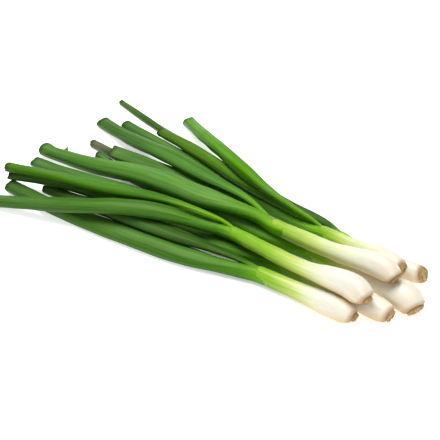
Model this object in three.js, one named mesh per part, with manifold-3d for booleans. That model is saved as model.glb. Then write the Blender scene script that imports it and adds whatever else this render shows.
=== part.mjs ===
// A bunch of seven spring onions lying on a surface: four stems side by side, three in the
// hollows on top of them, and their hollow leaves stacked beyond.
// Millimetres, +Z up, roots toward +X, leaf tips toward -X.

import * as THREE from 'three';
import { mergeVertices } from 'three/addons/utils/BufferGeometryUtils.js';
import Module from 'manifold-3d';

const wasm = await Module();
wasm.setup();

// Rings and sides of the swept solids
const STEM_SIDES = 12;
const SHANK_STEP = 14;
const LEAF_SIDES = 10;
const LEAF_RINGS = 19;

// The bulb: its widest ring and the distances of the rings that round it off
const BULB_AT = 12;
const STEM_RING_PLACES = [0, 1, 3, 6.5, BULB_AT, 17, 23, 30, 38, 48];

// The collar at the top of the shank, where the leaves come out of their sheath: its rim is
// cut aslant, further up the leaves on top than below
const COLLAR_DEPTH = 9;
const COLLAR_WALL = 0.8;
const COLLAR_CLEARANCE = 0.25;
const COLLAR_FLOOR_GAP = 0.8;
const RIM_SLANT = 4;
const STRAIGHT_EXIT = 8;

// Leaf sections in the collar, as shares of the room inside it: how far out from the middle,
// half the width and the thickness, the turn from the main leaf, and the length of widening
const MAIN_SLOT = { out: 0.32, half: 0.8, thick: 0.52, turn: 0, widening: 60 };
const INNER_SLOT = { out: 0.62, half: 0.52, thick: 0.25, turn: Math.PI, widening: 110 };
const LEFT_SLOT = { out: 0.68, half: 0.23, thick: 0.23, turn: Math.PI - 0.47, widening: 105 };
const RIGHT_SLOT = { out: 0.68, half: 0.23, thick: 0.23, turn: Math.PI + 0.47, widening: 105 };

// Leaves: the wall and the depth of the hollow that their cut ends show, and where along them
// they begin to narrow toward that end
const LEAF_WALL = 0.8;
const HOLLOW_DEPTH = 12;
const NARROWING_FROM = 0.45;
const END_THICKNESS_SHARE = 0.86;

// How the pieces lie on each other: the gap kept between them, the depth by which a soft
// underside is flattened on the surface, the springiness and settling of a leaf, and the
// length past the collar over which leaves of one onion part from each other
const GAP = 0.5;
const SINK = 0.35;
const LEAF_SAG = 5e-6;
const SWEEPS = 6000;
const SWEEP_GAIN = 1.5;
const STEPS_BETWEEN = 4;
const PARTING = 14;

// Root plates and the stubs that trimming left on them
const PLATE_LENGTH = 2.6;
const PLATE_GAP = 0.3;
const ROOT_STUBS = 9;
const STUB_TOP_RADIUS = 0.35;
const STUB_FOOT_RADIUS = 0.55;
const GOLDEN_ANGLE = 2.4;

const WHITE = 0xf3efd6;
const GREEN = 0x3f8a2c;
const BROWN = 0xb58f5e;

const up = new THREE.Vector3(0, 0, 1);

// Every onion: the middle line of its stem from the root to the neck, as [x, y, height], the
// radius of its root end, bulb and shank, the length of its bulb, the downward tilt of its root
// end and the turn of its leaves about the shank, in degrees, and the leaves. A leaf has its
// full width and thickness, the width of its cut end, and the points that its middle line
// passes, seen from above.
const onions = [
  {
    name: 'onion_1',
    stem: [[151, -36, 8], [139, -36, 8.2], [105, -37, 6.6], [73, -39, 6.1]],
    root: 3.4, bulb: 8.5, shank: 6.4, bulbLength: 46, tilt: 10, turn: -115,
    leaves: [
      {
        slot: MAIN_SLOT, width: 17, thickness: 11, end: 11,
        path: [[52, -45], [10, -57], [-52, -68], [-110, -75], [-154, -76]],
      },
      {
        slot: INNER_SLOT, width: 16, thickness: 9, end: 9,
        path: [[46, -39], [-3, -49.5], [-80, -58.5], [-130, -59]],
      },
    ],
  },
  {
    name: 'onion_2',
    stem: [[156.5, -30, 22.5], [142, -27, 24.6], [100, -28, 20.5], [35, -23, 15.5]],
    root: 3.8, bulb: 9.5, shank: 5.6, bulbLength: 50, tilt: 16, turn: -130,
    leaves: [
      {
        slot: MAIN_SLOT, width: 13.5, thickness: 10.5, end: 10,
        path: [[10, -31], [-28, -49], [-80, -75], [-151, -100]],
      },
      {
        slot: INNER_SLOT, width: 11.5, thickness: 9, end: 7.5,
        path: [[2, -30], [-37, -39], [-100, -55], [-158, -74]],
      },
    ],
  },
  {
    name: 'onion_3',
    stem: [[169, -19, 8], [157, -18.5, 8.2], [120, -20, 6.4], [76, -21, 5.7]],
    root: 4.6, bulb: 8.5, shank: 6, bulbLength: 40, tilt: 8, turn: -120,
    leaves: [
      {
        slot: MAIN_SLOT, width: 14, thickness: 8.5, end: 9,
        path: [[30, -28], [-39, -37], [-101, -50], [-157, -72]],
      },
      {
        slot: INNER_SLOT, width: 15, thickness: 8, end: 10,
        path: [[35, -17], [-39, -25], [-101, -33], [-166, -38]],
      },
    ],
  },
  {
    name: 'onion_4',
    stem: [[160, -1, 25.5], [149, 0, 28], [105, -1, 22.6], [54, 2, 17]],
    root: 4.2, bulb: 8.5, shank: 6.2, bulbLength: 46, tilt: 16, turn: -140,
    leaves: [
      {
        slot: MAIN_SLOT, width: 19, thickness: 13, end: 11,
        path: [[31, -1], [-15, -13], [-92, -15.5], [-172, -22]],
      },
      {
        slot: RIGHT_SLOT, width: 15, thickness: 9, end: 12,
        path: [[14, 11], [-38, 15], [-96, 25], [-165, 41]],
      },
      {
        slot: LEFT_SLOT, width: 16, thickness: 8.5, end: 13,
        path: [[14, 11], [-28, 11], [-69, 9.5], [-118, 6]],
      },
    ],
  },
  {
    name: 'onion_5',
    stem: [[152.5, 18.5, 17.5], [141, 20, 18.2], [110, 24.5, 12.2], [78, 30, 6.4]],
    root: 5.4, bulb: 8.5, shank: 6, bulbLength: 42, tilt: 0, turn: -140,
    leaves: [
      {
        slot: MAIN_SLOT, width: 12, thickness: 9, end: 8,
        path: [[47, 30], [-23, 39], [-89, 45], [-148, 51]],
      },
      {
        slot: LEFT_SLOT, width: 11, thickness: 8.5, end: 9,
        path: [[48, 31], [2, 36], [-67, 48], [-111, 56]],
      },
      {
        slot: RIGHT_SLOT, width: 12, thickness: 9, end: 11,
        path: [[53, 29], [14, 33], [-44, 53], [-109, 89]],
      },
    ],
  },
  {
    name: 'onion_6',
    stem: [[162, 33.5, 8.5], [151, 32.5, 7.5], [120, 33.2, 5], [90, 38, 4.2]],
    root: 5.8, bulb: 7.5, shank: 4.3, bulbLength: 30, tilt: -14, turn: -90,
    leaves: [
      {
        slot: MAIN_SLOT, width: 9, thickness: 6, end: 4.4,
        path: [[62, 46], [30, 47], [-40, 54], [-122, 66], [-178, 77]],
      },
    ],
  },
  {
    name: 'onion_7',
    stem: [[179, -2, 8], [168, 1.5, 10.8], [130, 3, 7.6], [85, 5, 5.9]],
    root: 6.6, bulb: 11, shank: 6.2, bulbLength: 28, tilt: 16, turn: -120,
    leaves: [
      {
        slot: MAIN_SLOT, width: 14, thickness: 9, end: 6,
        path: [[40, -1], [-40, -10], [-132, 1]],
      },
      {
        slot: INNER_SLOT, width: 12, thickness: 8, end: 6,
        path: [[40, 9], [-40, 8], [-149, 12]],
      },
    ],
  },
];

// The two layers of the bunch, from the surface up: the onions whose stems lie in each, and then
// the order of laying their leaves down, as [onion, leaf]
const layers = [
  {
    stems: [1, 3, 7, 6],
    leaves: [[1, 1], [1, 2], [3, 1], [3, 2], [7, 1], [7, 2], [6, 1]],
  },
  {
    stems: [2, 5, 4],
    leaves: [[2, 1], [2, 2], [5, 1], [5, 2], [5, 3], [4, 1], [4, 3], [4, 2]],
  },
];

const { lerp, clamp, degToRad } = THREE.MathUtils;

function smooth(t) {
  const u = clamp(t, 0, 1);
  return u * u * (3 - 2 * u);
}

// The stem's radius at a distance from the root end: a round shoulder, the bulb, the slim shank
function stemRadius(onion, along) {
  if (along < BULB_AT) {
    const rise = Math.sqrt(1 - (1 - along / BULB_AT) ** 2);
    return lerp(onion.root, onion.bulb, rise);
  }
  return lerp(onion.bulb, onion.shank, smooth((along - BULB_AT) / onion.bulbLength));
}

// The stem's rings: close together round the bulb, then evenly along the shank
function stemStations(onion) {
  const line = new THREE.CatmullRomCurve3(onion.stem.map(point => new THREE.Vector3(...point)));
  const length = line.getLength();
  const shankStart = STEM_RING_PLACES.at(-1);
  const places = [...STEM_RING_PLACES];
  const steps = Math.round((length - shankStart) / SHANK_STEP);
  for (let i = 1; i <= steps; i++) {
    places.push(shankStart + (length - shankStart) * i / steps);
  }
  return places.map(along => {
    const { x, y, z } = line.getPointAt(along / length);
    const radius = stemRadius(onion, along);
    const lean = degToRad(onion.tilt) * (1 - smooth(along / BULB_AT));
    return { x, y, z, along, half: radius, thick: radius, roll: 0, lean };
  });
}

// Directions square to each other at a station: ahead along the piece, sideways, and upward
function frameOf(ahead, lean = 0) {
  const side = new THREE.Vector3().crossVectors(ahead, up).normalize();
  const rise = new THREE.Vector3().crossVectors(side, ahead);
  const leanedAhead = ahead.clone().applyAxisAngle(side, lean);
  return { ahead: leanedAhead, side, rise: rise.applyAxisAngle(side, lean) };
}

function directions(stations) {
  return stations.map((station, i) => {
    const a = stations[Math.max(i - 1, 0)];
    const b = stations[Math.min(i + 1, stations.length - 1)];
    return new THREE.Vector3(b.x - a.x, b.y - a.y, b.z - a.z).normalize();
  });
}

// Even steps along a leaf's middle line seen from above
function planPoints(points) {
  const curve = new THREE.SplineCurve(points.map(([x, y]) => new THREE.Vector2(x, y)));
  curve.arcLengthDivisions = 400;
  const length = curve.getLength();
  return curve.getSpacedPoints(LEAF_RINGS - 1).map((p, i) => ({
    x: p.x,
    y: p.y,
    along: length * i / (LEAF_RINGS - 1),
  }));
}

// The leaf's rings: shaped to its slot in the collar, then widening to its full section, and
// narrowing again toward the cut end
function leafStations(onion, leaf, stem) {
  const neck = new THREE.Vector3(stem.at(-1).x, stem.at(-1).y, stem.at(-1).z);
  const { ahead, side, rise } = frameOf(directions(stem).at(-1));
  const room = onion.shank - COLLAR_WALL - COLLAR_CLEARANCE;
  const angle = degToRad(onion.turn) + leaf.slot.turn;
  const middle = neck.clone()
    .addScaledVector(side, Math.cos(angle) * leaf.slot.out * room)
    .addScaledVector(rise, Math.sin(angle) * leaf.slot.out * room);
  const start = middle.clone().addScaledVector(ahead, COLLAR_FLOOR_GAP - COLLAR_DEPTH);
  const exit = middle.clone().addScaledVector(ahead, STRAIGHT_EXIT);
  const stations = planPoints([[start.x, start.y], [exit.x, exit.y], ...leaf.path]);
  const length = stations.at(-1).along;
  for (const station of stations) {
    const widened = smooth((station.along - COLLAR_DEPTH) / leaf.slot.widening);
    const narrowed = smooth((station.along / length - NARROWING_FROM) / (1 - NARROWING_FROM));
    const half = lerp(leaf.width, leaf.end, narrowed) / 2;
    const thick = lerp(1, END_THICKNESS_SHARE, narrowed) * leaf.thickness / 2;
    station.half = lerp(leaf.slot.half * room, half, widened);
    station.thick = lerp(leaf.slot.thick * room, thick, widened);
    station.roll = Math.atan(Math.tan(angle + Math.PI / 2)) * (1 - widened);
    station.set = station.along < COLLAR_DEPTH + STRAIGHT_EXIT;
    station.z = start.z + ahead.z * station.along;
  }
  return stations;
}

// Half the width and half the height of a rolled ellipse
function reach(station) {
  const c = Math.cos(station.roll);
  const s = Math.sin(station.roll);
  return {
    wide: Math.hypot(station.half * c, station.thick * s),
    high: Math.hypot(station.half * s, station.thick * c),
  };
}

function blend(a, b, t) {
  const mix = {};
  for (const key of ['x', 'y', 'z', 'along', 'half', 'thick', 'roll']) {
    mix[key] = lerp(a[key], b[key], t);
  }
  return mix;
}

function finePoints(stations) {
  const fine = [];
  for (let i = 0; i < stations.length - 1; i++) {
    for (let k = 0; k < STEPS_BETWEEN; k++) {
      const t = k / STEPS_BETWEEN;
      const mix = blend(stations[i], stations[i + 1], t);
      fine.push({ ...mix, ...reach(mix), from: i + t });
    }
  }
  return fine;
}

// The lowest height that the surface and the pieces laid before allow at each station
function lowestHeights(piece, laid) {
  const lowest = piece.stations.map(station => reach(station).high - SINK);
  for (const point of finePoints(piece.stations)) {
    for (const other of laid) {
      const sibling = other.onion === piece.onion;
      const nearNeck = point.along < COLLAR_DEPTH + STRAIGHT_EXIT;
      if (sibling && (other.kind === 'stem' || nearNeck)) continue;
      const parted = sibling ? smooth((point.along - COLLAR_DEPTH) / PARTING) : 1;
      for (const below of other.fine) {
        const span = point.wide + below.wide + GAP;
        const apart = Math.hypot(point.x - below.x, point.y - below.y);
        if (apart >= span) continue;
        const lift = (point.high + below.high + GAP) * Math.sqrt(1 - (apart / span) ** 2);
        const height = below.z + lift * parted;
        for (const i of [Math.floor(point.from), Math.ceil(point.from)]) {
          lowest[i] = Math.max(lowest[i], height);
        }
      }
    }
  }
  return lowest;
}

// Lay one leaf down as a springy strip: it sags under its weight and rests on what is below
function layDown(piece, laid) {
  const { stations } = piece;
  const last = stations.length - 1;
  const sag = LEAF_SAG * stations[1].along ** 4;
  const lowest = lowestHeights(piece, laid);
  const z = stations.map(({ set, z }, i) => (set ? z : Math.max(lowest[i], z)));
  const inner = i => i > 0 && i < last;
  const bend = i => (inner(i) ? z[i - 1] - 2 * z[i] + z[i + 1] : 0);
  for (let sweep = 0; sweep < SWEEPS; sweep++) {
    for (let i = 0; i <= last; i++) {
      if (stations[i].set) continue;
      const pull = bend(i - 1) - 2 * bend(i) + bend(i + 1) + sag;
      const stiffness = (inner(i - 1) ? 1 : 0) + (inner(i) ? 4 : 0) + (inner(i + 1) ? 1 : 0);
      z[i] = Math.max(lowest[i], z[i] - SWEEP_GAIN * pull / stiffness);
    }
  }
  stations.forEach((station, i) => { station.z = z[i]; });
}

// Each layer's stems lie where they are given, and then its leaves are laid down in turn
function layBunch() {
  const laid = [];
  const stemsOf = new Map();
  const keep = piece => laid.push({ ...piece, fine: finePoints(piece.stations) });
  for (const layer of layers) {
    for (const number of layer.stems) {
      const onion = onions[number - 1];
      const stations = stemStations(onion);
      stemsOf.set(number, stations);
      keep({ name: `${onion.name}_stem`, onion, kind: 'stem', stations });
    }
    for (const [number, leafNumber] of layer.leaves) {
      const onion = onions[number - 1];
      const stations = leafStations(onion, onion.leaves[leafNumber - 1], stemsOf.get(number));
      const leaf = { name: `${onion.name}_leaf_${leafNumber}`, onion, kind: 'leaf', stations };
      layDown(leaf, laid);
      keep(leaf);
    }
  }
  return laid;
}

// A closed ring of points round one station, flattened where it meets the surface. The slant
// moves its top ahead and its bottom back.
function ring(station, ahead, sides, { inset = 0, slant = 0 } = {}) {
  const { side, rise } = frameOf(ahead, station.lean);
  const c = Math.cos(station.roll);
  const s = Math.sin(station.roll);
  const points = [];
  for (let k = 0; k < sides; k++) {
    const angle = (k + 0.5) / sides * 2 * Math.PI;
    const u = (station.half - inset) * Math.cos(angle);
    const v = (station.thick - inset) * Math.sin(angle);
    const point = new THREE.Vector3(station.x, station.y, station.z)
      .addScaledVector(side, u * c - v * s)
      .addScaledVector(rise, u * s + v * c)
      .addScaledVector(ahead, slant * Math.sin(angle));
    point.z = Math.max(point.z, 0);
    points.push(point);
  }
  return points;
}

// A closed skin over rings of points, with a fan at each end
function sweep(rings) {
  const sides = rings[0].length;
  const positions = [];
  const middle = points => points
    .reduce((sum, p) => sum.add(p), new THREE.Vector3())
    .divideScalar(sides);
  const triangle = (...corners) => corners.forEach(p => positions.push(p.x, p.y, p.z));
  for (let k = 0; k < sides; k++) {
    const next = (k + 1) % sides;
    triangle(middle(rings[0]), rings[0][k], rings[0][next]);
    for (let i = 0; i < rings.length - 1; i++) {
      triangle(rings[i][k], rings[i + 1][k], rings[i + 1][next]);
      triangle(rings[i][k], rings[i + 1][next], rings[i][next]);
    }
    triangle(middle(rings.at(-1)), rings.at(-1)[next], rings.at(-1)[k]);
  }
  const geometry = new THREE.BufferGeometry();
  geometry.setAttribute('position', new THREE.Float32BufferAttribute(positions, 3));
  const merged = mergeVertices(geometry, 1e-4);
  merged.computeVertexNormals();
  return merged;
}

// The station at a distance back from the end of a laid piece
function back(stations, distance) {
  const end = stations.at(-1).along - distance;
  const i = stations.findIndex(station => station.along >= end);
  const a = stations[i - 1];
  const b = stations[i];
  return blend(a, b, (end - a.along) / (b.along - a.along));
}

// The rings of a piece's outside, and then of the hollow in its far end
function hollowEnded(stations, sides, { wall, depth, slant = 0 }) {
  const ahead = directions(stations);
  const end = ahead.at(-1);
  const rings = stations.map((station, i) => ring(station, ahead[i], sides));
  rings[rings.length - 1] = ring(stations.at(-1), end, sides, { slant });
  rings.push(ring(stations.at(-1), end, sides, { inset: wall, slant }));
  rings.push(ring(back(stations, depth), end, sides, { inset: wall }));
  return sweep(rings);
}

function stemGeometry({ stations }) {
  const collar = { wall: COLLAR_WALL, depth: COLLAR_DEPTH, slant: RIM_SLANT };
  return hollowEnded(stations, STEM_SIDES, collar);
}

function leafGeometry({ stations }) {
  return hollowEnded(stations, LEAF_SIDES, { wall: LEAF_WALL, depth: HOLLOW_DEPTH });
}

function solid(geometry) {
  const plain = new THREE.BufferGeometry();
  plain.setAttribute('position', geometry.getAttribute('position'));
  plain.setIndex(geometry.index);
  const merged = mergeVertices(plain, 1e-4);
  return new wasm.Manifold(new wasm.Mesh({
    numProp: 3,
    vertProperties: new Float32Array(merged.getAttribute('position').array),
    triVerts: new Uint32Array(merged.index.array),
  }));
}

function geometryOf(manifold) {
  const mesh = manifold.getMesh();
  const geometry = new THREE.BufferGeometry();
  geometry.setAttribute('position', new THREE.Float32BufferAttribute(mesh.vertProperties, 3));
  geometry.setIndex(new THREE.Uint32BufferAttribute(mesh.triVerts, 1));
  geometry.computeVertexNormals();
  return geometry;
}

// The disc that the roots grew from: a raised rim round a shallow dish
function plateDisc(radius) {
  const profile = [
    [0, 0], [radius, 0], [radius * 1.04, PLATE_LENGTH * 0.35], [radius * 0.9, PLATE_LENGTH],
    [radius * 0.68, PLATE_LENGTH * 0.95], [radius * 0.45, PLATE_LENGTH * 0.7],
    [0, PLATE_LENGTH * 0.75],
  ];
  return new THREE.LatheGeometry(profile.map(([x, y]) => new THREE.Vector2(x, y)), STEM_SIDES);
}

// One stub of a trimmed root, number i of a sunflower pattern over the disc
function rootStub(radius, i) {
  const angle = i * GOLDEN_ANGLE;
  const out = radius * (0.15 + 0.62 * Math.sqrt((i + 0.5) / ROOT_STUBS));
  const height = PLATE_LENGTH * (0.5 + 0.22 * Math.sin(i * 1.7));
  const stub = new THREE.CylinderGeometry(STUB_TOP_RADIUS, STUB_FOOT_RADIUS, height, 5);
  stub.rotateZ(0.25 * Math.cos(i * 2.1));
  const foot = PLATE_LENGTH * 0.45;
  stub.translate(out * Math.cos(angle), foot + height / 2, out * Math.sin(angle));
  return stub;
}

function rootPlateGeometry({ onion, stations }) {
  const radius = onion.root - PLATE_GAP;
  let plate = solid(plateDisc(radius));
  for (let i = 0; i < ROOT_STUBS; i++) {
    plate = plate.add(solid(rootStub(radius, i)));
  }
  const [first] = stations;
  const outward = frameOf(directions(stations)[0], first.lean).ahead.negate();
  const turn = new THREE.Quaternion().setFromUnitVectors(new THREE.Vector3(0, 1, 0), outward);
  const foot = new THREE.Vector3(first.x, first.y, first.z).addScaledVector(outward, PLATE_GAP);
  const geometry = geometryOf(plate);
  geometry.applyQuaternion(turn);
  geometry.translate(foot.x, foot.y, foot.z);
  return geometry;
}

function finish(name, geometry, color) {
  const material = new THREE.MeshStandardMaterial({ color, roughness: 0.45, metalness: 0 });
  const mesh = new THREE.Mesh(geometry, material);
  mesh.name = name;
  return mesh;
}

// Every piece in place, with the origin on the surface below the middle of the bunch
function buildBunch() {
  const bunch = new THREE.Group();
  for (const piece of layBunch()) {
    if (piece.kind === 'leaf') {
      bunch.add(finish(piece.name, leafGeometry(piece), GREEN));
    } else {
      bunch.add(finish(piece.name, stemGeometry(piece), WHITE));
      bunch.add(finish(`${piece.onion.name}_root_plate`, rootPlateGeometry(piece), BROWN));
    }
  }
  const box = new THREE.Box3().setFromObject(bunch);
  const middle = box.getCenter(new THREE.Vector3());
  bunch.position.set(-middle.x, -middle.y, -box.min.z);
  return bunch;
}

const group = buildBunch();

export default group;
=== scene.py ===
import math

import bpy
import numpy as np
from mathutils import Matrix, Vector


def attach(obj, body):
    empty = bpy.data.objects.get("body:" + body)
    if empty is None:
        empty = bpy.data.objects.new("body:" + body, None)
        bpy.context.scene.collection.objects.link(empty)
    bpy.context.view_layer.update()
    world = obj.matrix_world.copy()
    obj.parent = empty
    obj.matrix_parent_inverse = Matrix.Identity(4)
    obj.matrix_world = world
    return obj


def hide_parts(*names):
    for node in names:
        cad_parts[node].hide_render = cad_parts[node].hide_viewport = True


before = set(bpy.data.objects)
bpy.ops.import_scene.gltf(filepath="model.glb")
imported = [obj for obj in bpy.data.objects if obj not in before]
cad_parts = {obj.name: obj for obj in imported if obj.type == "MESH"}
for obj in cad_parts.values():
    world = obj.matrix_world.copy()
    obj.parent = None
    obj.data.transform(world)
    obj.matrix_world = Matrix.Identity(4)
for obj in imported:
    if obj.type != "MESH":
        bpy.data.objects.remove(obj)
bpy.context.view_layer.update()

# Lengths are in millimetres where nothing else is said, and MM turns them into metres
MM = 0.001

# The photo's view: the point at the middle of its frame, and where the camera stands from there
PHOTO_MIDDLE = Vector((-3.1, 5.5, 0)) * MM
CAMERA_AZIMUTH = math.radians(40)
CAMERA_ELEVATION = math.radians(36)
CAMERA_DISTANCE = 1000 * MM
CAMERA_LENS = 106
SENSOR_WIDTH = 36
NEAR_LIMIT = 10 * MM

# Soft lights in metres and watts: where each stands, how wide it is and how strong
LIGHTS = {
    "key_light": ((-0.2, 0.05, 1.5), 1.0, 26),
    "side_light": ((0.9, -0.9, 0.9), 0.6, 2.5),
}
AMBIENT = 0.24

# A swept solid of the frame ends in this many rings of the hollow in its far end
HOLLOW_RINGS = 2

# Fineness of the skins: the step along a piece, extra rows at its start and the points round it
STEP_ALONG = 1.6
START_ROWS = (0, 0.4, 1, 2, 3, 4.2, 5.6)
POINTS_ROUND = 48

# Walls and depths of the hollows seen in the cut ends of leaves and in the collars of stems
LEAF_WALL = 0.55
LEAF_HOLLOW = 34
COLLAR_WALL = 0.4
COLLAR_HOLLOW = 8

# The lowest that a skin may reach over the surface that the bunch lies on
LEAF_LOWEST = 0.03
STEM_LOWEST = 0.02

# Where a leaf passes the rim of its sheath, from its own start, how much plumper its skin is
# than its solid, and how far past the rim the main leaf still has the sheath's round shape
RIM_PLACE = 8.2
PLUMP = 0.4
NECK_LENGTH = 70

# The main leaf's neck against the sheath's radius: how far within it starts, how much it rises
# past the rim, and how much lower it keeps on its inner side
NECK_INSET = 0.6
NECK_RISE = 0.42
NECK_DROP = 1.1

# A leaf's relief: the heights of its flutes and swells, the width of its crease, the lengths that
# they wander over, and where along the leaf they start and how soon they are full
FLUTE_HEIGHT = 0.07
FINE_FLUTE_HEIGHT = 0.05
FLUTE_WANDER = 90
LEAF_SWELL = 0.22
LEAF_SWELL_LENGTH = 70
CREASE_WIDTH = 0.3
CREASE_WANDER = 160
CREASE_START = 25
CREASE_RISE = 40
RELIEF_START = 12
RELIEF_RISE = 30

# A leaf's cut end: the length over which it is pressed and how much wider that makes it, the
# length over which it slants, and how uneven its edge is
PRESSED_LENGTH = 45
PRESSED_SPREAD = 0.4
SLANTED_LENGTH = 14
UNEVEN_CUT = 0.25
FINE_UNEVEN_CUT = 0.15

# A stem's relief: where the bulb passes into the shank, the ridges of the shank, the swells all
# along, and the lobes of the bulb
SHANK_START = 20
SHANK_RISE = 30
RIDGE_HEIGHT = 0.06
RIDGE_WANDER = 60
STEM_SWELL = 0.16
STEM_SWELL_LENGTH = 38
STEM_SWELL_RISE = 20
LOBE_HEIGHT = 0.22
LOBE_RISE = 8

# The rim of a stem: the length over which it is shaped, how far it stands out as a lip, and how
# far it sinks into the main leaf
RIM_SPAN = 8
LIP_HEIGHT = 0.25
RIM_SINK = 0.5

# The rim of an outer sheath: how far below the stem's rim it may lie, its step, its slant, its
# ripple and how soft its edge is
OUTER_RIM_RANGE = (20, 34)
OUTER_RIM_STEP = 0.22
OUTER_RIM_SLANT = 6
OUTER_RIM_RIPPLE = 1.5
OUTER_RIM_EDGE = 1.2

# The floor and the glow that keeps it white
FLOOR_SIZE = 12000 * MM
FLOOR_GLOW = 0.68

# The shaded fan under the leaves: its middle line, its half widths and where along the bunch they
# are, and where its shade comes in at the leaf end and at the root end
FAN_MIDDLE = -8 * MM
FAN_WIDTHS = (72 * MM, 36 * MM)
FAN_PLACES = (-150 * MM, 100 * MM)
LEAF_END_FADE = (-150 * MM, -60 * MM)
ROOT_END_FADE = (120 * MM, 40 * MM)

# How far apart the pieces lie in the textures, so that no two show the same patches, and where
# the seeds of the stems' and the root plates' random draws start
TEXTURE_STEP = 40
STEM_SEEDS = 100
PLATE_SEEDS = 200

# A root plate's outline, as shares of its radius and heights, and how rough and ragged it is
PLATE_PROFILE = [
    (0.4, -0.2),
    (0.98, -0.2),
    (1.02, 0.35),
    (0.98, 1.1),
    (0.9, 1.7),
    (0.8, 1.75),
    (0.68, 1.3),
    (0.5, 1.0),
    (0.3, 1.1),
    (0.12, 1.2),
]
PLATE_ROUGH = 0.16
PLATE_WAVE = 0.12
PLATE_RAGGED = 0.05

# The stubs of trimmed roots on a plate, set out in a sunflower pattern: how many, the turn
# between them, how far out they reach and how high their feet are
ROOT_STUBS = 60
GOLDEN_ANGLE = 2.4
STUB_REACH = 0.92
STUB_FOOT = 0.7

# One stub: its length and radius, how much it tapers, leans, scatters and bends, how dark it may
# be, and the points round it and rows along it
STUB_LENGTHS = (0.5, 1.3)
STUB_RADII = (0.28, 0.5)
STUB_TAPER = 0.45
STUB_LEAN = 0.6
STUB_SCATTER = 0.2
STUB_BEND = 0.25
STUB_SHADE = 1.8
STUB_SIDES = 6
STUB_ROWS = 5

LEAF_COUNTS = {1: 2, 2: 2, 3: 2, 4: 3, 5: 3, 6: 1, 7: 2}

# How green a stem is at its rim and at the end of each band below it, how the bands slant and how
# ragged they are, how far down that is full, and how much a painted highlight makes the top of the
# rim paler
BAND_GREENS = (1, 0.8, 0.36, 0)
BAND_SLANT = 9
BAND_RAGGED = 2.5
BAND_FINE_RAGGED = 1.5
BAND_RISE = 16
RIM_PAINTED_HIGHLIGHT = 0.2

# How far down from its rim each stem stays green, and where it has turned pale green and white
SHEATH_BANDS = {
    1: (10, 34, 56),
    2: (36, 70, 98),
    3: (14, 34, 60),
    4: (1, 46, 92),
    5: (7, 30, 76),
    6: (6, 20, 40),
    7: (12, 30, 52),
}


def srgb(red, green, blue):
    """A colour with parts from 0 to 255, as the linear colour that shaders use."""
    levels = [value / 255 for value in (red, green, blue)]
    linear = [v / 12.92 if v < 0.04 else ((v + 0.055) / 1.055) ** 2.4 for v in levels]
    return (*linear, 1)


# The colour where sheath and leaf meet
RIM_GREEN = srgb(118, 178, 14)

# Leaf greens: near the neck, along the middle and at the tip
WAXY = (srgb(98, 160, 0), srgb(84, 136, 52), srgb(78, 126, 50))
DEEP = (srgb(74, 138, 0), srgb(66, 114, 34), srgb(64, 106, 42))
LIME = (srgb(130, 188, 0), srgb(64, 122, 0), srgb(62, 112, 4))
VIVID = (srgb(96, 156, 0), srgb(78, 130, 8), srgb(84, 124, 24))
BRIGHT = (srgb(112, 170, 0), srgb(80, 142, 0), srgb(84, 148, 0))
BLUISH = (srgb(104, 166, 16), srgb(68, 122, 38), srgb(68, 110, 48))
# The dusky greens are a darker copy, painted as shade, for leaves that lie in shade under others
DUSKY_PAINTED_SHADE = (srgb(44, 90, 0), srgb(36, 76, 4), srgb(66, 98, 38))

# Other leaf colours: dried patches, a pale bloom that is partly a painted sheen, the cut edge, the
# painted shade inside the hollow, and the painted shade of the undersides against the unshaded tops
DRIED = srgb(110, 104, 90)
BLOOM_AND_SHEEN = srgb(132, 176, 100)
CUT_EDGE = srgb(34, 46, 22)
LEAF_INSIDE_SHADE = srgb(34, 62, 18)
LEAF_UNDERSIDE_PAINTED_SHADE = srgb(158, 198, 104)
LEAF_TOP_UNSHADED = srgb(255, 255, 240)

# Sheath colours: patches near the root, the foot of the bulb, the collar's inside darkened as
# painted shade, and the painted shade of the underside
ROOT_BEIGE = srgb(232, 204, 160)
BULB_FOOT = srgb(170, 130, 84)
COLLAR_INSIDE_SHADE = srgb(70, 110, 24)
SHEATH_UNDERSIDE_PAINTED_SHADE = srgb(214, 184, 116)

WHITE = srgb(255, 255, 255)

# The floor's colours: where it is clean, in its faint grain and in the shade under the leaves
FLOOR_LIGHT = srgb(246, 246, 246)
FLOOR_GRAIN = srgb(243, 243, 244)
FLOOR_SHADE = srgb(190, 198, 176)

# The widest leaf has a shallow tear near its cut end, with a small flap standing up beside it:
# the turn at which they lie, toward the back there, and for each how far it is from the end, its
# depth or height, its width round the leaf and its length along it
TORN_LEAF = "onion_4_leaf_1"
TEAR_TURN = 2.4
TEAR_PLACE = 12
TEAR_DEPTH = 3.2
TEAR_WIDTH = 0.55
TEAR_LENGTH = 5
FLAP_PLACE = 19.5
FLAP_HEIGHT = 4.5
FLAP_WIDTH = 0.15
FLAP_LENGTH = 1.5

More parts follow.
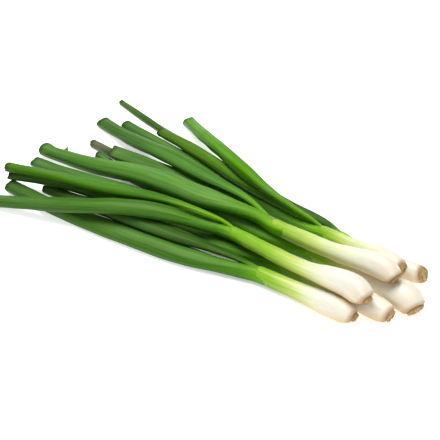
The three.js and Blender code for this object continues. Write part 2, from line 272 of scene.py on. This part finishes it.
# Each leaf's greens, how flat its cut end is pressed, the slant of the cut, how deep a crease
# runs along it, and how far from its tip it has dried
# Leaves lying in shade under others take the dusky greens, which are painted shade
LEAF_LOOKS = {
    "onion_1_leaf_1": (DEEP, 0.1, 2.5, 0.35, 1),
    "onion_1_leaf_2": (DUSKY_PAINTED_SHADE, 0.15, 1.5, 0.3, 1),
    "onion_2_leaf_1": (DEEP, 0.15, 2.0, 0.5, 1),
    "onion_2_leaf_2": (LIME, 0.15, 2.0, 0.6, 1),
    "onion_3_leaf_1": (DEEP, 0.15, -1.5, 0.3, 1),
    "onion_3_leaf_2": (BLUISH, 0.15, 1.0, 0.4, 1),
    "onion_4_leaf_1": (WAXY, 0.15, 2.0, 0.5, 2),
    "onion_4_leaf_2": (BLUISH, 0.1, -1.5, 0.5, 1),
    "onion_4_leaf_3": (BLUISH, 0.2, -5.0, 0.5, 4),
    "onion_5_leaf_1": (BLUISH, 0.15, 1.5, 0.4, 1),
    "onion_5_leaf_2": (VIVID, 0.1, -1.5, 0.4, 1),
    "onion_5_leaf_3": (BRIGHT, 0.1, -5.0, 0.5, 1),
    "onion_6_leaf_1": (DUSKY_PAINTED_SHADE, 0.1, 1.0, 0.2, 3),
    "onion_7_leaf_1": (BLUISH, 0.1, 1.0, 0.3, 2),
    "onion_7_leaf_2": (DUSKY_PAINTED_SHADE, 0.1, 1.0, 0.3, 26),
}


def smooth(value):
    """0 below 0, 1 above 1 and a soft rise between."""
    u = np.clip(value, 0, 1)
    return u * u * (3 - 2 * u)


# Reading the swept nodes of the frame


def welded(mesh):
    """The mesh's points in millimetres, with shared points joined, and its triangles."""
    flat = np.zeros(len(mesh.vertices) * 3)
    mesh.vertices.foreach_get("co", flat)
    rounded = np.round(flat.reshape(-1, 3) / MM, 3)
    points, index = np.unique(rounded, axis=0, return_inverse=True)
    corners = np.zeros(len(mesh.loops), dtype=int)
    mesh.loops.foreach_get("vertex_index", corners)
    return points, index.ravel()[corners].reshape(-1, 3)


def in_order(level, near):
    """The points of one ring, walked from each to the next."""
    walk = [min(level)]
    while len(walk) < len(level):
        options = [i for i in near[walk[-1]] if i in level and i not in walk]
        walk.append(options[0])
    return walk


def aligned(ring, before, ahead):
    """The ring turned and started so that its points follow on from the ring before."""
    offsets = ring - ring.mean(0)
    area = np.cross(offsets, np.roll(offsets, -1, 0)).sum(0)
    if area @ ahead < 0:
        ring = ring[::-1]
    if before is None:
        return np.roll(ring, -int(np.argmax(ring[:, 2])), 0)
    wanted = before - before.mean(0)
    shifts = range(len(ring))
    misfit = [np.sum((np.roll(ring, -k, 0) - ring.mean(0) - wanted) ** 2) for k in shifts]
    return np.roll(ring, -int(np.argmin(misfit)), 0)


def rings_of(name):
    """The rings round a swept node's outside, from the root to the leaf end."""
    points, triangles = welded(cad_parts[name].data)
    near = [set() for _ in points]
    for corners in triangles:
        for i in corners:
            near[i].update(int(k) for k in corners if k != i)
    by_degree = sorted(range(len(points)), key=lambda i: len(near[i]))
    far_cap, root_cap = sorted(by_degree[-2:], key=lambda i: points[i][0])
    level, seen, rings = {root_cap}, {root_cap}, []
    while far_cap not in level:
        level = set().union(*(near[i] for i in level)) - seen
        seen |= level
        if far_cap not in level:
            rings.append(points[in_order(level, near)])
    outer = rings[:-HOLLOW_RINGS]
    middles = np.array([ring.mean(0) for ring in outer])
    directions = np.gradient(middles, axis=0)
    done = []
    for ring, ahead in zip(outer, directions):
        done.append(aligned(ring, done[-1] if done else None, ahead))
    return np.array(done)


# Fine skins from the rings


def rounded(rings, count):
    """The rings with more points round them, on the smooth closed curve through the old ones."""
    old = rings.shape[1]
    waves = np.fft.rfft(rings, axis=1)[:, :old // 2]
    padded = np.zeros((rings.shape[0], count // 2 + 1, 3), complex)
    padded[:, :waves.shape[1]] = waves
    return np.fft.irfft(padded, count, axis=1) * count / old


def along_curve(places, values, fine):
    """The values at fine places, on the smooth curve through those at uneven places."""
    slopes = np.gradient(values, places, axis=0)
    i = np.clip(np.searchsorted(places, fine) - 1, 0, len(places) - 2)
    span = (places[i + 1] - places[i])[:, None, None]
    t = (fine - places[i])[:, None, None] / span
    start = (2 * t ** 3 - 3 * t ** 2 + 1) * values[i]
    start = start + (t ** 3 - 2 * t ** 2 + t) * span * slopes[i]
    end = (3 * t ** 2 - 2 * t ** 3) * values[i + 1]
    return start + end + (t ** 3 - t ** 2) * span * slopes[i + 1]


def fine_skin(rings):
    """The skin's points, and each row's distance along from the root end."""
    middles = rings.mean(1)
    lengths = np.linalg.norm(np.diff(middles, axis=0), axis=1)
    places = np.concatenate([[0], np.cumsum(lengths)])
    rows = int(places[-1] / STEP_ALONG)
    fine = np.union1d(np.linspace(0, places[-1], rows), START_ROWS)
    return rounded(along_curve(places, rings, fine), POINTS_ROUND), fine


def outward(skin):
    """Unit normals of a skin's points, away from its middle line."""
    across = np.roll(skin, -1, 1) - np.roll(skin, 1, 1)
    normals = np.cross(across, np.gradient(skin, axis=0))
    normals /= np.linalg.norm(normals, axis=2, keepdims=True) + 1e-9
    offsets = skin - skin.mean(1, keepdims=True)
    return normals * np.sign(np.sum(normals * offsets))


def ahead_of(skin):
    """Unit directions along a skin's middle line, toward its far end."""
    directions = np.gradient(skin.mean(1), axis=0)
    return directions / np.linalg.norm(directions, axis=1, keepdims=True)


def random_turn(rng):
    """A turn drawn from all the way round."""
    return rng.uniform(0, 6.3)


def wave(along, rng, length):
    """A gentle irregular wave along a piece, between about -1 and 1."""
    total = 0
    for share in (1, 0.62, 0.37):
        total = total + share * np.sin(along * 2 * np.pi / (length * share) + random_turn(rng))
    return total / 1.6


def turns_round(skin):
    """Each point's turn round the skin, as one row."""
    return np.linspace(0, 2 * np.pi, skin.shape[1], endpoint=False)[None, :]


def turns_from(skin, start):
    """Each point's turn from a starting turn, the short way round."""
    return np.angle(np.exp(1j * (turns_round(skin) - start)))


def field(skin, *parts):
    """Three parts, each of which may be the same all round, as one field over the points."""
    spread = np.broadcast_arrays(*parts, turns_round(skin))
    return np.stack(spread[:len(parts)], axis=2)


# Making meshes


def upward(rows):
    """How far each point of a skin faces up, from -1 to 1, as the field of that name, by which the
    materials paint shade on the undersides and sheen on the leaves' tops.
    """
    return outward(rows)[:, :, 2:] * np.ones(3)


def skin_mesh(name, rows, fields):
    """A closed mesh over rows of points, fanned at both ends, with its fields as attributes."""
    count, sides = rows.shape[:2]
    caps = np.array([rows[0].mean(0), rows[-1].mean(0)])
    points = np.concatenate([rows.reshape(-1, 3), caps]) * MM
    faces = []
    for i in range(count - 1):
        for k in range(sides):
            n = (k + 1) % sides
            faces.append((i * sides + k, i * sides + n, (i + 1) * sides + n, (i + 1) * sides + k))
    first, last = count * sides, count * sides + 1
    for k in range(sides):
        n = (k + 1) % sides
        faces.append((first, n, k))
        faces.append((last, (count - 1) * sides + k, (count - 1) * sides + n))
    mesh = bpy.data.meshes.new(name)
    mesh.from_pydata(points.tolist(), [], faces)
    for label, values in fields.items():
        ends = np.array([values[0].mean(0), values[-1].mean(0)])
        flat = np.concatenate([values.reshape(-1, 3), ends])
        attribute = mesh.attributes.new(label, "FLOAT_VECTOR", "POINT")
        attribute.data.foreach_set("vector", flat.astype(np.float32).ravel())
    mesh.polygons.foreach_set("use_smooth", [True] * len(mesh.polygons))
    mesh.update()
    return mesh


def add_piece(name, mesh, material, node):
    """A finished piece, which takes the place of a node of the frame."""
    piece = bpy.data.objects.new(name, mesh)
    bpy.context.scene.collection.objects.link(piece)
    mesh.materials.append(material)
    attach(piece, "root")
    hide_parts(node)


def joined(name, meshes):
    """One mesh of several closed ones, with their attributes kept."""
    points, faces, fields = [], [], {"skin": [], "place": []}
    for mesh in meshes:
        start = len(points)
        points += [v.co.copy() for v in mesh.vertices]
        faces += [[start + i for i in face.vertices] for face in mesh.polygons]
        for label, values in fields.items():
            values += [v.vector.copy() for v in mesh.attributes[label].data]
    whole = bpy.data.meshes.new(name)
    whole.from_pydata(points, [], faces)
    for label, values in fields.items():
        attribute = whole.attributes.new(label, "FLOAT_VECTOR", "POINT")
        attribute.data.foreach_set("vector", [x for value in values for x in value])
    whole.polygons.foreach_set("use_smooth", [True] * len(whole.polygons))
    return whole


def texture_place(skin, along, seed):
    """Seamless coordinates on a skin: round it in X and Y, and along it in Z."""
    radius = np.linalg.norm(skin - skin.mean(1, keepdims=True), axis=2).mean()
    turn = turns_round(skin)
    across = radius * np.cos(turn) + TEXTURE_STEP * seed
    return field(skin, across, radius * np.sin(turn), along[:, None])


def hollowed(skin, along, wall, depth):
    """A skin's rows followed by a rounded rim and the inside of a hollow of that depth.

    With them come each row's place in the skin and how far within it is, from 0 to 1.
    """
    normals = outward(skin)
    inside = skin - normals * wall
    deep = along >= along[-1] - depth
    rim = skin[-1] - normals[-1] * wall / 2 + ahead_of(skin)[-1] * wall * 0.35
    rows = np.concatenate([skin, rim[None], inside[deep][::-1]])
    order = np.concatenate([np.arange(len(skin)), [len(skin) - 1], np.flatnonzero(deep)[::-1]])
    within = np.concatenate([np.zeros(len(skin)), [0.5], np.ones(int(deep.sum()))])
    return rows, order, within


# Leaves


def leaf_relief(skin, along, crease, rng):
    """How far a leaf's skin stands out from its solid: swells, soft flutes and one crease."""
    turn = turns_round(skin)
    row = along[:, None]
    flutes = FLUTE_HEIGHT * np.cos(5 * turn + 0.6 * wave(row, rng, FLUTE_WANDER))
    flutes = flutes + FINE_FLUTE_HEIGHT * np.cos(9 * turn + 1)
    swell = LEAF_SWELL * wave(row, rng, LEAF_SWELL_LENGTH)
    gap = turns_from(skin, random_turn(rng) + 0.5 * wave(row, rng, CREASE_WANDER))
    begun = smooth((row - CREASE_START) / CREASE_RISE)
    dent = -crease * np.exp(-(gap / CREASE_WIDTH) ** 2) * begun
    grown = smooth((row - RELIEF_START) / RELIEF_RISE)
    return PLUMP + (flutes + swell + dent) * grown


def shaped_leaf(name, rng):
    """The leaf's skin: the frame's solid with relief, a round neck and a pressed, cut end."""
    skin, along = fine_skin(rings_of(name))
    _, pressed, slant, crease, _ = LEAF_LOOKS[name]
    skin = skin + outward(skin) * leaf_relief(skin, along, crease, rng)[:, :, None]
    if name.endswith("leaf_1"):
        skin = filled_neck(skin, along, neck_of(int(name.split("_")[1])))
    skin = pressed_end(skin, along, pressed)
    skin = slanted_end(skin, along, slant, rng)
    if name == TORN_LEAF:
        skin = torn_edge(skin, along)
    skin[:, :, 2] = np.maximum(skin[:, :, 2], LEAF_LOWEST)
    return skin, along


def filled_neck(skin, along, neck):
    """Rounded where it comes out of the sheath, so that the main leaf carries the sheath on.

    On its inner side it keeps lower, and leaves room for the inner leaves.
    """
    weight = (1 - smooth((along - RIM_PLACE) / NECK_LENGTH))[:, None, None]
    middles = skin.mean(1, keepdims=True)
    offsets = skin - middles
    directions = offsets / np.linalg.norm(offsets, axis=2, keepdims=True)
    away = smooth(0.1 - 1.1 * directions @ neck["main"])[:, :, None]
    risen = smooth((along - 3) / 6)[:, None, None]
    radius = neck["radius"] - NECK_INSET + NECK_RISE * risen - NECK_DROP * away
    at_rim = middles[np.searchsorted(along, RIM_PLACE)]
    middles = middles + weight * (neck["middle"] - at_rim)
    return middles + weight * radius * directions + (1 - weight) * offsets


def pressed_end(skin, along, pressed):
    """Pressed flatter toward the cut end."""
    share = pressed * smooth((along - along[-1] + PRESSED_LENGTH) / PRESSED_LENGTH)
    middles = skin.mean(1, keepdims=True)
    offsets = skin - middles
    offsets[:, :, 2] *= (1 - share)[:, None]
    offsets[:, :, :2] *= (1 + PRESSED_SPREAD * share)[:, None, None]
    return middles + offsets


def slanted_end(skin, along, slant, rng):
    """Cut slightly aslant and unevenly at the end."""
    weight = smooth((along - along[-1] + SLANTED_LENGTH) / SLANTED_LENGTH)
    turn = turns_round(skin)
    uneven = UNEVEN_CUT * np.cos(3 * turn + random_turn(rng)) + FINE_UNEVEN_CUT * np.cos(7 * turn)
    shift = weight[:, None] * (slant * (np.cos(turn) - 1) / 2 + uneven)
    return skin + ahead_of(skin)[:, None, :] * shift[:, :, None]


def torn_edge(skin, along):
    """A shallow tear in the leaf's upper back edge, and the flap that stands up beside it."""
    apart = turns_from(skin, TEAR_TURN)
    to_tip = (along[-1] - along)[:, None]
    from_tear = (apart / TEAR_WIDTH) ** 2 + ((to_tip - TEAR_PLACE) / TEAR_LENGTH) ** 2
    from_flap = (apart / FLAP_WIDTH) ** 2 + ((to_tip - FLAP_PLACE) / FLAP_LENGTH) ** 2
    lift = FLAP_HEIGHT * np.exp(-from_flap) - TEAR_DEPTH * np.exp(-from_tear)
    return skin + outward(skin) * lift[:, :, None]


def make_leaf(name, seed):
    """One leaf of the bunch, with its own greens."""
    rng = np.random.default_rng(seed)
    skin, along = shaped_leaf(name, rng)
    rows, order, within = hollowed(skin, along, LEAF_WALL, LEAF_HOLLOW)
    reached = along[order, None]
    fields = {
        "skin": texture_place(skin, along, seed)[order],
        "place": field(skin, reached, along[-1] - reached, within[:, None]),
        "upward": upward(skin)[order],
    }
    mesh = skin_mesh(name + "_skin", rows, fields)
    greens, *_, dried = LEAF_LOOKS[name]
    material = leaf_material(name + "_green", greens, dried)
    add_piece(name + "_skin", mesh, material, name)


# Stems


def neck_of(number):
    """A stem's upper end: its middle, its radius and the side on which the main leaf lies."""
    rings = rings_of(f"onion_{number}_stem")
    middle = rings[-1].mean(0)
    radius = np.linalg.norm(rings[-2] - rings[-2].mean(0), axis=1).mean()
    skin, along = fine_skin(rings_of(f"onion_{number}_leaf_1"))
    main = skin[np.searchsorted(along, RIM_PLACE)].mean(0) - middle
    return {"middle": middle, "radius": radius, "main": main / np.linalg.norm(main)}


def sheath_rim(skin, along, neck):
    """The rim sinks into the main leaf on its side and stands out as a lip opposite."""
    offsets = skin - skin.mean(1, keepdims=True)
    toward = offsets @ neck["main"] / np.linalg.norm(offsets, axis=2)
    near = smooth((along - along[-1] + RIM_SPAN) / RIM_SPAN)[:, None]
    lip = LIP_HEIGHT * smooth(-toward - 0.2)
    return near * (lip - RIM_SINK * smooth(1.2 * toward + 0.4))


def outer_rim(skin, along, rng):
    """How far the skin drops past the oblique rim of an outer sheath."""
    turn = turns_round(skin)
    middle = along[-1] - rng.uniform(*OUTER_RIM_RANGE)
    edge = middle + OUTER_RIM_SLANT * np.cos(turn - 1.2) + OUTER_RIM_RIPPLE * np.cos(3 * turn)
    return -OUTER_RIM_STEP * smooth((along[:, None] - edge) / OUTER_RIM_EDGE)


def shaped_stem(number, rng):
    """The stem's skin: the frame's solid with ridges, a lobed bulb and the rims of sheaths."""
    skin, along = fine_skin(rings_of(f"onion_{number}_stem"))
    row = along[:, None]
    turn = turns_round(skin)
    shank = smooth((row - SHANK_START) / SHANK_RISE)
    ridges = RIDGE_HEIGHT * np.cos(7 * turn + 0.4 * wave(row, rng, RIDGE_WANDER)) * shank
    swell = STEM_SWELL * wave(row, rng, STEM_SWELL_LENGTH) * smooth(row / STEM_SWELL_RISE)
    lobes = LOBE_HEIGHT * np.cos(3 * turn + random_turn(rng)) * smooth(row / LOBE_RISE)
    lobes = lobes * (1 - shank)
    relief = ridges + swell + lobes + outer_rim(skin, along, rng)
    relief = relief + sheath_rim(skin, along, neck_of(number))
    skin = skin + outward(skin) * relief[:, :, None]
    skin[:, :, 2] = np.maximum(skin[:, :, 2], STEM_LOWEST)
    return skin, along


def greenness(down, bands):
    """1 at the green rim, falling past each band to 0 where the sheath is white."""
    green, pale, cream = bands
    return np.interp(down, [0, green, pale, cream], BAND_GREENS)


def sheath_place(skin, number, along, order, within):
    """How green each point is, less under the painted highlight at the top of the rim, how far up
    the stem it is and how far inside the collar.
    """
    turn = turns_round(skin)
    up = along[order, None]
    down = along[-1] - up
    ragged = BAND_RAGGED * np.cos(5 * turn + number) + BAND_FINE_RAGGED * np.cos(11 * turn)
    ragged = ragged - BAND_SLANT * np.cos(turn - 3.8)
    uneven = down + ragged * smooth(down / BAND_RISE)
    # A painted highlight: the top of the rim paler near its edge
    rim_highlight = RIM_PAINTED_HIGHLIGHT * np.exp(-(turns_from(skin, 0) / 0.8) ** 2 - (down / 5) ** 2)
    green = greenness(uneven, SHEATH_BANDS[number]) - rim_highlight
    return field(skin, green, up, within[:, None])


def make_stem(number):
    """One bulb with its shank of sheaths."""
    rng = np.random.default_rng(STEM_SEEDS + number)
    node = f"onion_{number}_stem"
    skin, along = shaped_stem(number, rng)
    rows, order, within = hollowed(skin, along, COLLAR_WALL, COLLAR_HOLLOW)
    fields = {
        "skin": texture_place(skin, along, number)[order],
        "place": sheath_place(skin, number, along, order, within),
        "upward": upward(skin)[order],
    }
    mesh = skin_mesh(node + "_skin", rows, fields)
    add_piece(node + "_skin", mesh, SHEATH, node)


# Root plates


def plate_frame(number):
    """A stem's root end: its middle, its outward, sideways and upward directions, its radius."""
    ring = rings_of(f"onion_{number}_stem")[0]
    middle = ring.mean(0)
    offsets = ring - middle
    area = np.cross(offsets, np.roll(offsets, -1, 0)).sum(0)
    out = -area / np.linalg.norm(area)
    side = np.cross([0, 0, 1], out)
    side /= np.linalg.norm(side)
    return middle, out, side, np.cross(out, side), np.linalg.norm(offsets, axis=1).mean()


def disc_mesh(name, number, plate, rng):
    """A rough brown disc: a ragged raised rim round a dish."""
    middle, out, side, rise, radius = plate
    turn = np.linspace(0, 2 * np.pi, POINTS_ROUND, endpoint=False)
    rows = []
    for share, height in PLATE_PROFILE:
        rough = rng.uniform(-PLATE_ROUGH, PLATE_ROUGH, len(turn))
        rough = rough + PLATE_WAVE * np.cos(5 * turn + number)
        reach = radius * share * (1 + PLATE_RAGGED * rough)
        lift = height + rough * (height > 0)
        rows.append(middle + np.outer(reach * np.cos(turn), side)
                    + np.outer(reach * np.sin(turn), rise) + np.outer(lift, out))
    rows = np.array(rows)
    shares = np.array([share for share, _ in PLATE_PROFILE])[:, None, None]
    place = shares * np.ones_like(rows)
    return skin_mesh(name, rows, {"skin": rows.copy(), "place": place})


def root_mesh(name, foot, direction, length, radius, bend, shade):
    """One trimmed root: a short tapered tube that bends a little."""
    side = np.cross(direction, [0.3, 0.5, 0.8])
    side /= np.linalg.norm(side)
    rise = np.cross(direction, side)
    turn = np.linspace(0, 2 * np.pi, STUB_SIDES, endpoint=False)
    rows = []
    for t in np.linspace(0, 1, STUB_ROWS):
        middle = foot + direction * length * t + bend * length * t * t
        width = radius * (1 - STUB_TAPER * t)
        rows.append(middle + width * (np.outer(np.cos(turn), side) + np.outer(np.sin(turn), rise)))
    rows = np.array(rows)
    return skin_mesh(name, rows, {"skin": rows.copy(), "place": shade * np.ones_like(rows)})


def stub_mesh(name, plate, i, rng):
    """Stub i of a plate, leaning and bending at random."""
    middle, out, side, rise, radius = plate
    angle = i * GOLDEN_ANGLE
    reach = radius * STUB_REACH * math.sqrt((i + 0.5) / ROOT_STUBS)
    around = math.cos(angle) * side + math.sin(angle) * rise
    lean = out + around * rng.uniform(0, STUB_LEAN) + rng.normal(0, STUB_SCATTER, 3)
    direction = lean / np.linalg.norm(lean)
    length = rng.uniform(*STUB_LENGTHS)
    foot = middle + around * reach + out * STUB_FOOT
    bend = rng.normal(0, STUB_BEND, 3)
    shade = STUB_SHADE * rng.uniform(0, 1) ** 2
    width = rng.uniform(*STUB_RADII)
    return root_mesh(name, foot, direction, length, width, bend, shade)


def make_root_plate(number):
    """The disc at the root end of a bulb, with the stubs of its trimmed roots."""
    rng = np.random.default_rng(PLATE_SEEDS + number)
    name = f"onion_{number}_roots"
    plate = plate_frame(number)
    meshes = [disc_mesh(name, number, plate, rng)]
    meshes += [stub_mesh(name, plate, i, rng) for i in range(ROOT_STUBS)]
    add_piece(name, joined(name, meshes), ROOT, f"onion_{number}_root_plate")


# Materials


class Graph:
    """A material's shader nodes, added one by one."""

    def __init__(self, name):
        self.material = bpy.data.materials.new(name)
        self.material.use_nodes = True
        self.tree = self.material.node_tree
        self.shader = self.tree.nodes["Principled BSDF"]

    def node(self, kind, inputs=None, **settings):
        added = self.tree.nodes.new(kind)
        for key, value in settings.items():
            setattr(added, key, value)
        self.feed(added, inputs or {})
        return added

    def feed(self, node, inputs):
        for key, value in inputs.items():
            if isinstance(value, bpy.types.NodeSocket):
                self.tree.links.new(value, node.inputs[key])
            else:
                node.inputs[key].default_value = value

    def attribute(self, name):
        return self.node("ShaderNodeAttribute", attribute_name=name).outputs["Vector"]

    def part(self, vector, axis):
        return self.node("ShaderNodeSeparateXYZ", {"Vector": vector}).outputs[axis]

    def noise(self, vector, stretch, scale, detail):
        """Noise from 0 to 1 over coordinates that are stretched first."""
        scaled = self.node("ShaderNodeVectorMath", {0: vector, 1: stretch}, operation="MULTIPLY")
        inputs = {"Vector": scaled.outputs[0], "Scale": scale, "Detail": detail}
        return self.node("ShaderNodeTexNoise", inputs).outputs["Fac"]

    def between(self, value, low, high, start=0, end=1):
        """A number from start to end, by where the value lies from low to high."""
        inputs = {"Value": value, "From Min": low, "From Max": high, "To Min": start, "To Max": end}
        return self.node("ShaderNodeMapRange", inputs).outputs["Result"]

    def math(self, a, b, operation):
        return self.node("ShaderNodeMath", {0: a, 1: b}, operation=operation).outputs[0]

    def sum(self, a, b):
        return self.math(a, b, "ADD")

    def product(self, a, b):
        return self.math(a, b, "MULTIPLY")

    def mix(self, factor, a, b, blend="MIX"):
        inputs = {0: factor, 6: a, 7: b}
        return self.node("ShaderNodeMix", inputs, data_type="RGBA", blend_type=blend).outputs[2]

    def tinted(self, color, tint, share=1):
        """The color multiplied by a tint."""
        return self.mix(share, color, tint, "MULTIPLY")

    def ramp(self, factor, stops):
        added = self.node("ShaderNodeValToRGB", {"Fac": factor})
        elements = added.color_ramp.elements
        while len(elements) < len(stops):
            elements.new(0.5)
        for element, (position, color) in zip(elements, stops):
            element.position = position
            element.color = color
        return added.outputs["Color"]

    def grey(self, level):
        return self.node("ShaderNodeCombineColor", {0: level, 1: level, 2: level}).outputs[0]

    def bump(self, height, strength, distance):
        inputs = {"Height": height, "Strength": strength, "Distance": distance * MM}
        return self.node("ShaderNodeBump", inputs).outputs["Normal"]


def leaf_material(name, greens, dried):
    """Waxy green skin: fine veins along it, a pale bloom in patches that is painted on the tops
    only and so is partly a painted sheen, painted shade on the undersides, and a dark inside that
    is painted shade.
    """
    neck, middle, tip = greens
    g = Graph(name)
    skin = g.attribute("skin")
    place = g.attribute("place")
    along = g.part(place, "X")
    to_tip = g.part(place, "Y")
    within = g.part(place, "Z")
    height = g.part(g.attribute("upward"), "Z")
    veins = g.noise(skin, (1, 1, 0.012), 2.6, 2)
    patches = g.noise(skin, (1, 1, 0.12), 0.16, 4)
    bands = g.noise(skin, (1, 1, 0.014), 0.55, 3)
    color = g.mix(g.between(along, RIM_PLACE, 26), RIM_GREEN, neck)
    color = g.mix(g.between(along, 16, 70), color, middle)
    color = g.mix(g.between(to_tip, 90, 5), color, tip)
    color = g.tinted(color, g.grey(g.between(veins, 0.35, 0.68, 0.72, 1.2)), 0.75)
    color = g.tinted(color, g.grey(g.between(bands, 0.34, 0.66, 0.78, 1.16)))
    # Painted shade: the undersides darkened and the tops left unshaded, by how far the skin faces
    # up
    color = g.tinted(color, g.mix(g.between(height, -0.5, 0.95), LEAF_UNDERSIDE_PAINTED_SHADE, LEAF_TOP_UNSHADED))
    # A waxy bloom in patches, painted only where the skin faces up, so that it is partly a painted
    # sheen
    bloom_and_sheen = g.product(g.between(patches, 0.4, 0.7, 0, 0.24), g.between(height, 0, 1))
    color = g.mix(bloom_and_sheen, color, BLOOM_AND_SHEEN)
    dryness = g.product(g.between(to_tip, dried, dried * 0.4), g.between(patches, 0.3, 0.5))
    color = g.mix(g.product(dryness, 0.85), color, DRIED)
    color = g.mix(g.between(to_tip, 5, 0.6, 0, 0.8), color, CUT_EDGE)
    # Painted shade: the inside of the hollow darkened
    color = g.mix(g.between(within, 0.6, 1), color, LEAF_INSIDE_SHADE)
    g.feed(g.shader, {
        "Base Color": color,
        "Roughness": g.between(patches, 0.3, 0.75, 0.38, 0.54),
        "Specular IOR Level": 0.3,
        "Specular Tint": (0.75, 1, 0.35, 1),
        "Normal": g.bump(g.sum(veins, bands), 0.6, 0.2),
    })
    return g.material


def sheath_material():
    """Moist sheaths, white at the bulb and green at the rim, with fine veins along them, painted
    shade on the undersides and in the collar, and a painted highlight on the rim's top.
    """
    g = Graph("sheath_skin")
    skin = g.attribute("skin")
    place = g.attribute("place")
    green = g.part(place, "X")
    up = g.part(place, "Y")
    within = g.part(place, "Z")
    height = g.part(g.attribute("upward"), "Z")
    veins = g.noise(skin, (1, 1, 0.012), 2.4, 2)
    fine = g.noise(skin, (1, 1, 0.03), 5.5, 2)
    patches = g.noise(skin, (1, 1, 0.3), 0.22, 3)
    drift = g.product(g.between(veins, 0.3, 0.7, -0.09, 0.09), g.between(green, 0, 0.3))
    color = g.ramp(g.sum(green, drift), [
        (0, srgb(240, 238, 226)),
        (0.16, srgb(236, 238, 204)),
        (0.42, srgb(200, 220, 112)),
        (0.72, srgb(150, 194, 38)),
        (1, RIM_GREEN),
    ])
    beige = g.product(g.between(up, 30, 0, 0, 0.5), g.between(patches, 0.3, 0.65))
    color = g.mix(beige, color, ROOT_BEIGE)
    color = g.mix(g.between(up, 3.2, 0, 0, 0.75), color, BULB_FOOT)
    color = g.tinted(color, g.grey(g.between(fine, 0.38, 0.62, 0.9, 1.03)), 0.8)
    # Painted shade: the undersides tinted darker and warmer than the tops
    color = g.tinted(color, g.mix(g.between(height, -0.7, 0.35), SHEATH_UNDERSIDE_PAINTED_SHADE, WHITE))
    # Painted shade: the inside of the collar darkened
    color = g.mix(g.between(within, 0.6, 1, 0, 0.8), color, COLLAR_INSIDE_SHADE)
    g.feed(g.shader, {
        "Base Color": color,
        "Roughness": g.between(patches, 0.3, 0.7, 0.3, 0.42),
        "Specular IOR Level": 0.5,
        "Subsurface Weight": 0.35,
        "Subsurface Radius": (1.0, 0.85, 0.45),
        "Subsurface Scale": 2.5 * MM,
        "Normal": g.bump(g.sum(veins, fine), 0.35, 0.08),
    })
    return g.material


def root_material():
    """Dry brown fibres, darker toward the plate's rim and on some of the stubs."""
    g = Graph("root_skin")
    skin = g.attribute("skin")
    share = g.part(g.attribute("place"), "X")
    grain = g.noise(skin, (1, 1, 1), 1.6, 4)
    darkness = g.sum(g.product(share, 0.6), grain)
    color = g.ramp(g.product(darkness, 0.5), [
        (0.2, srgb(230, 206, 156)),
        (0.42, srgb(196, 162, 108)),
        (0.6, srgb(150, 114, 66)),
        (0.76, srgb(88, 62, 34)),
    ])
    g.feed(g.shader, {
        "Base Color": color,
        "Roughness": 0.8,
        "Normal": g.bump(grain, 0.8, 0.3),
    })
    return g.material


def floor_material():
    """A white floor, less bright in the deep shade under the fan of leaves."""
    g = Graph("white_floor")
    place = g.node("ShaderNodeTexCoord").outputs["Object"]
    grain = g.noise(place, (1, 1, 1), 2, 1)
    white = g.mix(grain, FLOOR_LIGHT, FLOOR_GRAIN)
    forward = g.part(place, "X")
    sideways = g.math(g.sum(g.part(place, "Y"), -FAN_MIDDLE), 0, "ABSOLUTE")
    half_width = g.between(forward, *FAN_PLACES, *FAN_WIDTHS)
    shade = g.between(g.math(sideways, half_width, "DIVIDE"), 1.1, 0.5)
    shade = g.product(shade, g.between(forward, *LEAF_END_FADE))
    shade = g.product(shade, g.between(forward, *ROOT_END_FADE))
    g.feed(g.shader, {
        "Base Color": g.mix(shade, white, FLOOR_SHADE),
        "Roughness": 0.9,
        "Specular IOR Level": 0.0,
        "Emission Color": (1, 1, 1, 1),
        "Emission Strength": g.between(shade, 0, 1, FLOOR_GLOW, 0),
    })
    return g.material


# Stage


def add_camera():
    """The camera that took the photo, as well as its view tells."""
    out = Vector((
        math.sin(CAMERA_AZIMUTH) * math.cos(CAMERA_ELEVATION),
        -math.cos(CAMERA_AZIMUTH) * math.cos(CAMERA_ELEVATION),
        math.sin(CAMERA_ELEVATION),
    ))
    data = bpy.data.cameras.new("photo_camera")
    data.sensor_width = SENSOR_WIDTH
    data.lens = CAMERA_LENS
    data.clip_start = NEAR_LIMIT
    camera = bpy.data.objects.new("photo_camera", data)
    camera.location = PHOTO_MIDDLE + out * CAMERA_DISTANCE
    camera.rotation_euler = out.to_track_quat("Z", "Y").to_euler()
    bpy.context.scene.collection.objects.link(camera)
    bpy.context.scene.camera = camera


def add_floor():
    """The white surface that the bunch lies on."""
    bpy.ops.mesh.primitive_plane_add(size=FLOOR_SIZE)
    floor = bpy.context.object
    floor.name = "floor"
    floor.data.materials.append(floor_material())


def add_softbox(name, place, size, watts):
    """A square soft light at a place, facing the bunch."""
    data = bpy.data.lights.new(name, "AREA")
    data.shape = "SQUARE"
    data.size = size
    data.energy = watts
    light = bpy.data.objects.new(name, data)
    light.location = place
    light.rotation_euler = Vector(place).to_track_quat("Z", "Y").to_euler()
    bpy.context.scene.collection.objects.link(light)


def add_light():
    """An even white surround, and the soft lights."""
    world = bpy.data.worlds.new("studio")
    world.use_nodes = True
    background = world.node_tree.nodes["Background"]
    background.inputs["Color"].default_value = (1, 1, 1, 1)
    background.inputs["Strength"].default_value = AMBIENT
    bpy.context.scene.world = world
    for name, (place, size, watts) in LIGHTS.items():
        add_softbox(name, place, size, watts)
    bpy.context.scene.view_settings.view_transform = "Standard"


SHEATH = sheath_material()
ROOT = root_material()

add_camera()
add_floor()
add_light()
for number, leaf_count in LEAF_COUNTS.items():
    make_stem(number)
    make_root_plate(number)
    for leaf_number in range(1, leaf_count + 1):
        make_leaf(f"onion_{number}_leaf_{leaf_number}", seed=10 * number + leaf_number)
